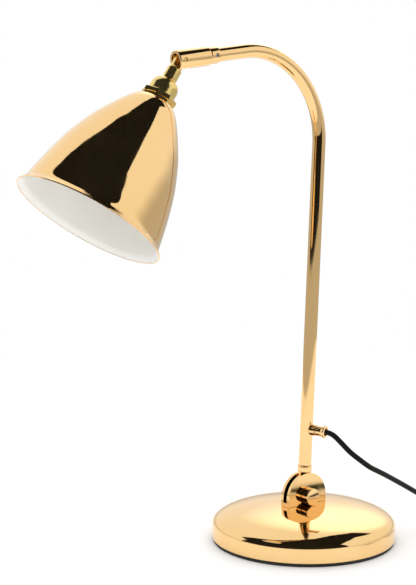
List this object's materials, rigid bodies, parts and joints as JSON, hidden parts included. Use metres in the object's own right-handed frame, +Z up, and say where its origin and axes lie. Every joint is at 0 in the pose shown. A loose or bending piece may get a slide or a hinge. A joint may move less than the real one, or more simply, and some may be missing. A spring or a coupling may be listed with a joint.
{
  "type": "swing arm desk lamp",
  "caption": "Desk lamp with a weighted round base, a tilting bent-tube arm, a swivel socket with a knuckle, and a bell shade.",
  "frame": {"origin": "centre of the underside of the base, on the table", "axes": "+Z up; the arm reaches towards -X; the clamp knob and the cord grip face -Y; the mains lead runs round to +X"},
  "size_m": [0.4691, 0.24, 0.453],
  "materials": {
    "polished_gold": "mirror-polished gold plate",
    "polished_brass": "polished yellow brass",
    "zinc_steel": "satin zinc plate",
    "cast_weight": "rough casting",
    "base_rubber": "matt black",
    "lead_sheath": "satin black flex",
    "black_plastic": "fine texture",
    "white_ceramic": "glazed ceramic",
    "opal_glass": "opal white"
  },
  "bodies": {
    "base": {"base_cover": "polished_gold", "base_pad": "base_rubber", "base_plate": "zinc_steel", "base_weight": "cast_weight", "tilt_bracket": "polished_gold", "bracket_stud": "zinc_steel", "stud_washer": "zinc_steel", "stud_nut": "zinc_steel", "pivot_bolt": "polished_gold", "bolt_washer": "polished_gold", "friction_washer_front": "zinc_steel", "friction_washer_rear": "zinc_steel", "cord_lead": "lead_sheath", "cord_coil": "lead_sheath", "cord_tail": "lead_sheath", "cord_end": "lead_sheath", "switch_lower_shell": "black_plastic", "switch_upper_shell": "black_plastic", "plug_body": "black_plastic", "plug_pin_1": "polished_brass", "plug_pin_2": "polished_brass"},
    "knob": {"tilt_knob": "polished_gold"},
    "stem": {"stem_foot": "polished_gold", "arm_tube": "polished_gold", "grip_boss": "polished_gold", "cord_grip": "polished_gold", "grip_bush": "lead_sheath", "inner_lead": "lead_sheath", "swivel_spigot": "zinc_steel", "swivel_collar": "polished_gold", "collar_grub_screw": "zinc_steel", "spigot_clip": "zinc_steel"},
    "socket": {"arm_socket": "polished_gold", "knuckle_pin": "polished_brass"},
    "head": {"knuckle_link": "polished_brass", "holder_cap": "polished_brass", "cap_nut": "zinc_steel", "shade_ring": "polished_brass", "inner_ring": "polished_brass", "holder_body": "polished_brass", "holder_insert": "white_ceramic", "screw_shell": "polished_brass", "centre_contact": "polished_brass", "bulb_tip": "white_ceramic", "bulb_cap": "polished_brass", "bulb_glass": "opal_glass", "shade": "polished_gold"},
    "rocker": {"switch_rocker": "black_plastic"}
  },
  "joints": [
    {"name": "stem_tilt", "type": "hinge", "parent": "base", "child": "stem", "pos_m": [0, 0, 0.0424], "axis": [0, 1, 0], "range_deg": [-30, 30], "deforming": ["cord_lead"]},
    {"name": "knob_turn", "type": "hinge", "parent": "base", "child": "knob", "pos_m": [0, -0.0058, 0.0424], "axis": [0, -1, 0], "range_deg": [0, 180]},
    {"name": "socket_swivel", "type": "hinge", "parent": "stem", "child": "socket", "pos_m": [-0.13983, 0, 0.43732], "axis": [-0.9912, 0, -0.1323], "range_deg": [-90, 90]},
    {"name": "shade_tilt", "type": "hinge", "parent": "socket", "child": "head", "pos_m": [-0.13983, 0, 0.43732], "axis": [0, 1, 0], "range_deg": [-50, 46.5]},
    {"name": "rocker_press", "type": "hinge", "parent": "base", "child": "rocker", "pos_m": [0.123, -0.142, 0.0117], "axis": [0, 1, 0], "range_deg": [-15, 0]}
  ]
}
